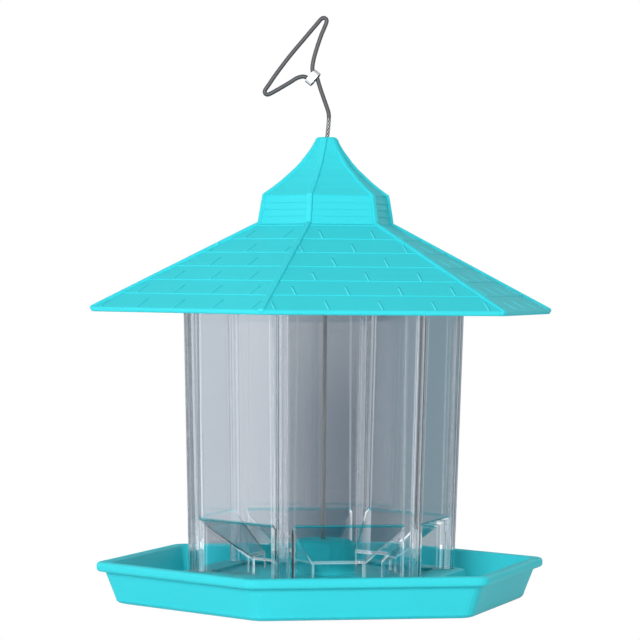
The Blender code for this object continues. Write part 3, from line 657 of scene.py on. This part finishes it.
def ease_edges(obj: bpy.types.Object, width: float, segments: int = 2, slot: int = 0) -> None:
    """Rounds the object's sharp edges, so that they catch light.

    Args:
        obj: the object.
        width: the rounding's width.
        segments: faces across it.
        slot: the object's material slot for the rounded edges.
    """
    bevel = obj.modifiers.new("eased_edges", "BEVEL")
    bevel.width = width
    bevel.segments = segments
    bevel.limit_method = "ANGLE"
    bevel.angle_limit = math.radians(30)
    bevel.use_clamp_overlap = True
    bevel.material = slot
    level = obj.modifiers.new("flat_faces", "WEIGHTED_NORMAL")
    level.keep_sharp = True


def travelled(route: np.ndarray) -> np.ndarray:
    """Length along a route up to each of its points."""
    return np.concatenate([[0.0], np.cumsum(np.linalg.norm(np.diff(route, axis=0), axis=1))])


def resample(route: np.ndarray, spacing: float) -> np.ndarray:
    """Evenly spaced points on a route.

    Args:
        route: points on the route.
        spacing: wanted distance between the new ones.

    Returns:
        The new points, both ends included.
    """
    length = travelled(route)
    count = max(int(length[-1] / spacing), 2)
    even = np.linspace(0.0, length[-1], count + 1)
    return np.stack([np.interp(even, length, route[:, axis]) for axis in range(3)], axis=1)


def smooth_curve(points: np.ndarray, steps: int) -> np.ndarray:
    """A centripetal Catmull-Rom curve through points.

    Args:
        points: the points that the curve goes through.
        steps: curve points for each stretch between two of them.

    Returns:
        The curve's points.
    """
    ends = np.vstack([2 * points[0] - points[1], points, 2 * points[-1] - points[-2]])
    knots = np.sqrt(np.linalg.norm(np.diff(ends, axis=0), axis=1))
    made = []
    for index in range(1, len(ends) - 2):
        level = ends[index - 1 : index + 3]
        time = np.concatenate([[0.0], np.cumsum(knots[index - 1 : index + 2])])
        now = np.linspace(time[1], time[2], steps, endpoint=False)[:, None]
        for start, end in ((time[:3], time[1:]), (time[:2], time[2:]), (time[1:2], time[2:3])):
            level = [
                level[i] * (end[i] - now) / (end[i] - start[i])
                + level[i + 1] * (now - start[i]) / (end[i] - start[i])
                for i in range(len(start))
            ]
        made.append(level[0])
    return np.vstack(made + [points[-1:]])


# Sub-assemblies


@dataclass(frozen=True)
class RopeSize:
    """Wire rope of six strands round a core, smooth from some height up."""

    radius: float = 1.1 * MM
    strands: int = 6
    lay_length: float = 13.0 * MM
    points_per_strand: int = 7
    ring_spacing: float = 0.4 * MM
    curve_steps: int = 12
    smooth_from: float = 249.8 * MM
    smooth_fade: float = 1.6 * MM
    smooth_groove: float = 0.03
    bend_reach: float = 4.0 * MM


class WireRope:
    """The hanging rope: a held stretch on the axis and a free stretch with the loop."""

    def __init__(self, size: RopeSize, material: bpy.types.Material):
        self.size = size
        self.material = material

    def free_route(self, start: float) -> np.ndarray:
        """Centreline of the free stretch.

        Args:
            start: height at which the held stretch ends.

        Returns:
            Points in the row frame.
        """
        flat = np.array(LEAD_ROUTE + LOOP_ROUTE) * MM
        flat[:, 1] += NECK_HEIGHT
        flat[0] = (0.0, start)
        across, height = smooth_curve(flat, self.size.curve_steps).T
        cosine, sine = math.cos(ROPE_PLANE_TURN), math.sin(ROPE_PLANE_TURN)
        return np.stack([across * cosine, across * sine, height], axis=1)

    def rings(
        self, route: np.ndarray, before: float, groove: np.ndarray
    ) -> tuple[np.ndarray, np.ndarray]:
        """Rings of the lobed section, turning with the lay along the route.

        Args:
            route: evenly spaced centreline points.
            before: rope length before the first point, which sets the strands' phase.
            groove: depth of the grooves as a share, one for each point.

        Returns:
            Points as an array of rings by points by 3, and each one's depth in a groove, 0 to 1.
        """
        size = self.size
        tangent = np.gradient(route, axis=0)
        tangent /= np.linalg.norm(tangent, axis=1)[:, None]
        plane = np.array([-math.sin(ROPE_PLANE_TURN), math.cos(ROPE_PLANE_TURN), 0.0])
        side = np.cross(tangent, plane)
        side /= np.linalg.norm(side, axis=1)[:, None]
        other = np.cross(tangent, side)
        around = size.strands * size.points_per_strand
        angle = np.arange(around) * (math.tau / around)
        strand_turn = math.tau / size.strands
        within = (angle + strand_turn / 2) % strand_turn - strand_turn / 2
        strand = size.radius / 3
        centre = size.radius * 2 / 3
        lobe = centre * np.cos(within) + np.sqrt(
            np.maximum(strand**2 - (centre * np.sin(within)) ** 2, 0.0)
        )
        depth = (size.radius - lobe[None, :]) * groove[:, None]
        radius = size.radius - depth
        lay = (before + travelled(route)) / size.lay_length * math.tau
        turn = angle[None, :] + lay[:, None]
        points = (
            route[:, None, :]
            + side[:, None, :] * (radius * np.cos(turn))[..., None]
            + other[:, None, :] * (radius * np.sin(turn))[..., None]
        )
        return points, depth / (size.radius - lobe.min())

    def stretch(
        self, name: str, route: np.ndarray, before: float, smooth: np.ndarray
    ) -> bpy.types.Object:
        """Makes one stretch of rope.

        Args:
            name: the object's name.
            route: evenly spaced centreline points.
            before: rope length before the first point.
            smooth: how smooth and dull the rope is, 0 to 1, one for each point.

        Returns:
            The object, with what its material reads stored at its vertices.
        """
        groove = 1.0 + (self.size.smooth_groove - 1.0) * smooth
        points, depth = self.rings(route, before, groove)
        rope = grid_object(name, points, self.material)
        store(rope, "groove", depth)
        store(rope, "dull", np.broadcast_to(smooth[:, None], depth.shape))
        return rope

    def build(self) -> None:
        """Makes both stretches, and ties the held one to the cable's moving body."""
        size = self.size
        low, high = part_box("hanger_cable")
        split = high[2]
        held = resample(np.array([[0.0, 0.0, low[2]], [0.0, 0.0, split]]), size.ring_spacing)
        held_rope = self.stretch("rope_held", held, 0.0, np.zeros(len(held)))
        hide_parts("hanger_cable")
        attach(held_rope, "cable")
        free = resample(self.free_route(split), size.ring_spacing)
        smooth = np.clip((free[:, 2] - size.smooth_from) / size.smooth_fade + 0.5, 0.0, 1.0)
        free_rope = self.stretch("rope_free", free, split - low[2], smooth)
        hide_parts("cable_lead", "cable_loop")
        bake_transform(free_rope)


class ShingleJoints:
    """Raised upright joints between the shingles of each course, on all six slopes."""

    RUN_SHARES = (0.0, 0.16, 0.92, 1.0)
    RISE_SHARES = (0.0, 1.0, 1.0, 0.85)
    ACROSS_SHARES = (1.0, 0.55, 0.2, -0.2, -0.55, -1.0, -1.0, 1.0)
    LIFT_SHARES = (0.0, 0.45, 0.95, 0.95, 0.45, 0.0)

    def __init__(self, size: ShingleSize, material: bpy.types.Material):
        self.size = size
        self.material = material

    def places(self) -> tuple[np.ndarray, np.ndarray, np.ndarray]:
        """Finds the joints of one slope.

        Returns:
            For each joint its course, its distance to the right of the slope's middle, and the
            share of the course's run where it starts, clear of the rounded ridges.
        """
        size = self.size
        half_width_share = math.tan(SIDE_TURN / 2)
        course = np.arange(size.courses)[:, None]
        reach = size.first_line + size.courses * size.course_run
        most = math.ceil(reach * half_width_share / size.spacing)
        number = np.arange(-most, most + 1)[None, :]
        along = (number - 0.5 * (course % 2 == 0)) * size.spacing - size.shift
        wide_enough = (np.abs(along) + size.ridge_margin) / half_width_share
        start = (wide_enough - size.first_line) / size.course_run - course
        start = np.maximum(start, size.start_share)
        kept = start < size.latest_start_share
        return np.broadcast_to(course, along.shape)[kept], along[kept], start[kept]

    def section(self) -> np.ndarray:
        """Height over the shingles, as rings along a joint by points round its section."""
        lift = np.full((len(self.RISE_SHARES), len(self.ACROSS_SHARES)), -self.size.joint_sink)
        top = self.size.joint_rise * np.outer(self.RISE_SHARES, self.LIFT_SHARES)
        lift[:, : len(self.LIFT_SHARES)] = top
        return lift

    def build(self) -> None:
        """Makes the joints, each one a low closed ridge that is sunk into its shingles."""
        size = self.size
        course, along, start = self.places()
        run = (size.joint_end_share - start)[:, None] * np.array(self.RUN_SHARES)
        share = start[:, None] + run
        outward = size.first_line + (course[:, None] + share) * size.course_run
        height = size.plane - size.fall * outward - size.course_step * (1 - share)
        lift = self.section()
        steep = math.hypot(1.0, size.fall)
        outward = outward[..., None] + lift * size.fall / steep
        height = height[..., None] + lift / steep
        across = along[:, None, None] + np.array(self.ACROSS_SHARES) * size.joint_width
        heading = size.turn - math.pi / 2 + np.arange(SIDES) * SIDE_TURN
        cosine = np.cos(heading)[:, None, None, None]
        sine = np.sin(heading)[:, None, None, None]
        x = outward * cosine - across * sine
        y = outward * sine + across * cosine
        points = np.stack([x, y, np.broadcast_to(height, x.shape)], axis=-1)
        rings = points.reshape(-1, *points.shape[-3:])
        joints = grid_object("shingle_joints", rings, self.material)
        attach(joints, "roof")
        LOG.info("shingle joints: %d on each slope", len(along))


@dataclass(frozen=True)
class EasedEdges:
    """Widths of the rounded edges of the nodes that keep their CAD shape."""

    tray: float = 0.5 * MM
    roof: float = 0.15 * MM
    loop_ferrule: float = 0.2 * MM
    boss_washer: float = 0.15 * MM
    end_stop: float = 0.1 * MM
    hopper_panel: float = 0.22 * MM


class Feeder:
    """The whole feeder: the nodes that keep their CAD shape, and the new pieces over them."""

    def __init__(self, edges: EasedEdges):
        self.edges = edges
        self.turquoise = plastic(Slot.TURQUOISE.value, PlasticFinish())
        self.shingled = plastic("shingled_plastic_painted_light_and_shade", PlasticFinish(), SHINGLES)
        self.clear = clear_plastic(Slot.CLEAR.value, ClearFinish())
        self.edge = clear_edge("clear_plastic_edge", ClearFinish())
        self.steel = rope_metal(Slot.WIRE.value, RopeFinish())
        self.sleeve = metal(Slot.SLEEVE.value, MetalFinish())

    def dress(self) -> None:
        """Gives every carried-over node its material and eased edges, and adds new pieces."""
        for node, material, width in (
            ("tray", self.turquoise, self.edges.tray),
            ("roof", self.shingled, self.edges.roof),
            ("loop_ferrule", self.sleeve, self.edges.loop_ferrule),
            ("boss_washer", self.sleeve, self.edges.boss_washer),
            ("end_stop", self.sleeve, self.edges.end_stop),
        ):
            set_materials(NODES[node], material)
            ease_edges(NODES[node], width)
            LOG.info("dressed %s", node)
        for index in range(SIDES):
            panel = NODES[f"hopper_panel_{index + 1}"]
            # The panels' rounded edges take the edge material, with its painted highlight and
            # painted glow.
            set_materials(panel, self.clear, self.edge)
            ease_edges(panel, self.edges.hopper_panel, segments=1, slot=1)
        LOG.info("dressed the clear panels")
        ShingleJoints(SHINGLES, self.shingled).build()
        WireRope(RopeSize(), self.steel).build()


# Camera, ground and light


@dataclass(frozen=True)
class PhotoCamera:
    """The camera that took the photograph, fitted to the feeder's own corners."""

    place: tuple[float, float, float] = (-0.35575, -1.58270, 0.16766)
    azimuth: float = math.radians(12.63 - 0.0542)
    pitch: float = math.radians(-0.7728)
    roll: float = math.radians(0.5260)
    focal_share: float = 3125.63 / 640
    sensor_width: float = 36.0
    clip: tuple[float, float] = (0.05, 50.0)

    def level_forward(self) -> Vector:
        """The level direction in which the camera looks."""
        return Vector((math.sin(self.azimuth), math.cos(self.azimuth), 0.0))

    def build(self) -> None:
        """Adds the camera and makes it the scene's own."""
        data = bpy.data.cameras.new("photo_camera")
        data.sensor_width = self.sensor_width
        data.lens = self.sensor_width * self.focal_share
        data.clip_start, data.clip_end = self.clip
        data.dof.use_dof = False
        camera = link_object("photo_camera", data)
        right = Vector((math.cos(self.azimuth), -math.sin(self.azimuth), 0.0))
        level = math.cos(self.pitch)
        forward = Vector(
            (math.sin(self.azimuth) * level, math.cos(self.azimuth) * level, math.sin(self.pitch))
        )
        upward = right.cross(forward)
        side = right * math.cos(self.roll) + upward * math.sin(self.roll)
        top = upward * math.cos(self.roll) - right * math.sin(self.roll)
        turn = Matrix((side, top, -forward)).transposed().to_4x4()
        camera.matrix_world = Matrix.Translation(self.place) @ turn
        bpy.context.scene.camera = camera


@dataclass(frozen=True)
class SoftBox:
    """A rectangular area light that points at the feeder."""

    name: str
    place: tuple[float, float, float]
    width: float
    height: float
    power: float

    def build(self) -> None:
        """Adds the light."""
        data = bpy.data.lights.new(self.name, "AREA")
        data.shape = "RECTANGLE"
        data.size = self.width
        data.size_y = self.height
        data.energy = self.power
        light = link_object(self.name, data)
        light.visible_camera = False
        light.visible_transmission = False
        light.location = self.place
        aim = Vector(BODY_CENTRE) - Vector(self.place)
        light.rotation_euler = aim.to_track_quat("-Z", "Y").to_euler()


def stage_sheet(name: str, size: float, matrix: Matrix, material: bpy.types.Material) -> None:
    """Adds a square sheet of the stage.

    Args:
        name: the sheet's name.
        size: length of its sides.
        matrix: where its middle is, and which way its own XY plane lies.
        material: its material.
    """
    signs = ((-1, -1), (1, -1), (1, 1), (-1, 1))
    corners = [matrix @ Vector((x * size / 2, y * size / 2, 0.0)) for x, y in signs]
    mesh = bpy.data.meshes.new(name)
    mesh.from_pydata(corners, [], [(0, 1, 2, 3)])
    mesh.materials.append(material)
    obj = link_object(name, mesh)


def finish_card(graph: Graph, colour: Value, strength: Value | float) -> None:
    """Ends a card's tree: it glows in and through the clear plastic, and is clear otherwise.

    Args:
        graph: the card's node tree.
        colour: the colour of its glow.
        strength: how strongly it glows.
    """
    glow = graph.add("ShaderNodeEmission", inputs={"Color": colour, "Strength": strength})
    clear = graph.add("ShaderNodeBsdfTransparent")
    shown = graph.rays("Transmission", "Glossy")
    graph.finish("ShaderNodeMixShader", {0: shown, 1: clear, 2: glow})


@dataclass(frozen=True)
class GreyCard:
    """Card behind the hopper: the photograph's clear plastic shows the studio's grey backdrop.

    The left part darkens to the right and is paler at the top, and the right part grows paler to
    the right. Each fade, and the change between the parts, runs from one x or height to another.
    """

    size: float = 0.8
    distance: float = 0.3
    left: Colour = (0.27, 0.31, 0.345, 1.0)
    middle: Colour = (0.03, 0.07, 0.11, 1.0)
    left_fade: tuple[float, float] = (0.020, 0.080)
    top: Colour = (0.36, 0.39, 0.42, 1.0)
    top_fade: tuple[float, float] = (0.07, 0.15)
    top_share: float = 0.35
    right_start: Colour = (0.08, 0.125, 0.16, 1.0)
    right: Colour = (0.215, 0.30, 0.34, 1.0)
    right_fade: tuple[float, float] = (0.096, 0.130)
    change: tuple[float, float] = (0.086, 0.094)

    def material(self) -> bpy.types.Material:
        """The card's grey in its parts."""
        material, graph = new_material("grey_card")
        across, _, height = graph.split(graph.place())
        left = graph.mix(across.step(*self.left_fade), self.left, self.middle)
        left = graph.mix(height.step(*self.top_fade, 0.0, self.top_share), left, self.top)
        right = graph.mix(across.step(*self.right_fade), self.right_start, self.right)
        finish_card(graph, graph.mix(across.step(*self.change), left, right), 1.0)
        return material

    def build(self, camera: PhotoCamera) -> None:
        """Stands the card on the ground behind the feeder, square to the camera."""
        upright = Matrix.Rotation(math.radians(90), 4, "X")
        turn = Matrix.Rotation(-camera.azimuth, 4, "Z") @ upright
        place = camera.level_forward() * self.distance + Vector((0.0, 0.0, self.size / 2))
        stage_sheet("grey_card", self.size, Matrix.Translation(place) @ turn, self.material())


@dataclass(frozen=True)
class SideCard:
    """Card at the left, whose bright front half the hopper's left pane mirrors."""

    out: tuple[float, float, float] = (-0.954, 0.299, 0.0)
    size: float = 0.36
    distance: float = 0.28
    height: float = 0.15
    bright: Colour = (0.92, 0.95, 1.0, 1.0)
    grey: Colour = (0.18, 0.22, 0.25, 1.0)
    glow: float = 2.6
    fade: tuple[float, float] = (-0.012, 0.004)

    def material(self) -> bpy.types.Material:
        """Bright in front of the fade and grey behind it."""
        material, graph = new_material("side_card")
        x, y, _ = graph.split(graph.place())
        behind = (x * self.out[1] + y * -self.out[0]).step(*self.fade)
        colour = graph.mix(behind, self.bright, self.grey)
        finish_card(graph, colour, behind.step(0.0, 1.0, self.glow, 1.0))
        return material

    def build(self) -> None:
        """Stands the card at the feeder's left, facing it."""
        out = Vector(self.out)
        place = out * self.distance + Vector((0.0, 0.0, self.height))
        turn = out.to_track_quat("Z", "Y").to_matrix().to_4x4()
        stage_sheet("side_card", self.size, Matrix.Translation(place) @ turn, self.material())


class Studio:
    """White ground and backdrop with soft lights."""

    GROUND_SIZE = 8.0
    GROUND_DROP = 0.4 * MM
    GROUND_DARK: Colour = (0.80, 0.80, 0.80, 1.0)
    GROUND_PALE: Colour = (0.84, 0.84, 0.84, 1.0)
    GROUND_CLOUD_SCALE = 3.0
    WORLD_STRENGTH = 0.40
    LIGHTS = (
        SoftBox("key_left", (-0.75, -1.55, 0.54), 0.6, 0.6, 23.0),
        SoftBox("fill_right", (1.1, -1.3, 0.5), 0.8, 0.8, 4.0),
        SoftBox("side_left", (-1.38, 0.10, 0.45), 0.5, 0.8, 3.5),
        SoftBox("top", (0.0, 0.1, 1.5), 1.0, 1.0, 1.2),
        SoftBox("back_left", (-0.9, 1.3, 0.5), 0.8, 0.8, 8.0),
        SoftBox("back_right", (0.9, 1.3, 0.5), 0.8, 0.8, 8.0),
    )

    @staticmethod
    def white_mask(graph: Graph) -> Value:
        """1 for the rays that show the background: camera, glossy and transmission rays.

        A ray that has met a matt surface lights the feeder rather than shows the
        background, so it is left out; the inside of the hopper keeps its shade.

        Args:
            graph: the node tree of the ground or the world.

        Returns:
            The mask.
        """
        depth = graph.add("ShaderNodeLightPath", out="Diffuse Depth")
        shown = graph.rays("Camera", "Glossy", "Transmission")
        return shown * (1.0 - graph.math("MINIMUM", depth, 1.0))

    def build_ground(self) -> None:
        """Adds pale matt ground that shows as white."""
        material, graph = new_material("white_ground")
        cloud = graph.noise(self.GROUND_CLOUD_SCALE, 2.0)
        colour = graph.mix(cloud, self.GROUND_DARK, self.GROUND_PALE)
        matt = graph.add("ShaderNodeBsdfDiffuse", inputs={"Color": colour})
        white = graph.add("ShaderNodeEmission", inputs={"Color": WHITE})
        graph.finish("ShaderNodeMixShader", {0: self.white_mask(graph), 1: matt, 2: white})
        drop = Matrix.Translation((0.0, 0.0, -self.GROUND_DROP))
        stage_sheet("ground", self.GROUND_SIZE, drop, material)

    def build_world(self) -> None:
        """Adds the world, white where it shows and dimmer where it lights."""
        world = bpy.data.worlds.new("studio_world")
        bpy.context.scene.world = world
        graph = Graph(world, "ShaderNodeOutputWorld")
        strength = self.white_mask(graph) * (1.0 - self.WORLD_STRENGTH) + self.WORLD_STRENGTH
        graph.finish("ShaderNodeBackground", {"Color": WHITE, "Strength": strength})

    def build(self, camera: PhotoCamera) -> None:
        """Adds the ground, the cards, the world and the lights."""
        self.build_ground()
        GreyCard().build(camera)
        SideCard().build()
        self.build_world()
        for light in self.LIGHTS:
            light.build()
        LOG.info("studio: %d lights", len(self.LIGHTS))


def set_render() -> None:
    """Sets plain colours, and light paths long enough for the clear plastic."""
    scene = bpy.context.scene
    scene.view_settings.view_transform = "Standard"
    scene.cycles.max_bounces = 32
    scene.cycles.transmission_bounces = 28
    scene.cycles.glossy_bounces = 24
    scene.cycles.transparent_max_bounces = 16
    scene.cycles.caustics_reflective = False


def main() -> None:
    """Builds the whole scene."""
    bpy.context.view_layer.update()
    set_render()
    camera = PhotoCamera()
    camera.build()
    Feeder(EasedEdges()).dress()
    Studio().build(camera)


if __name__ == "__main__":
    main()
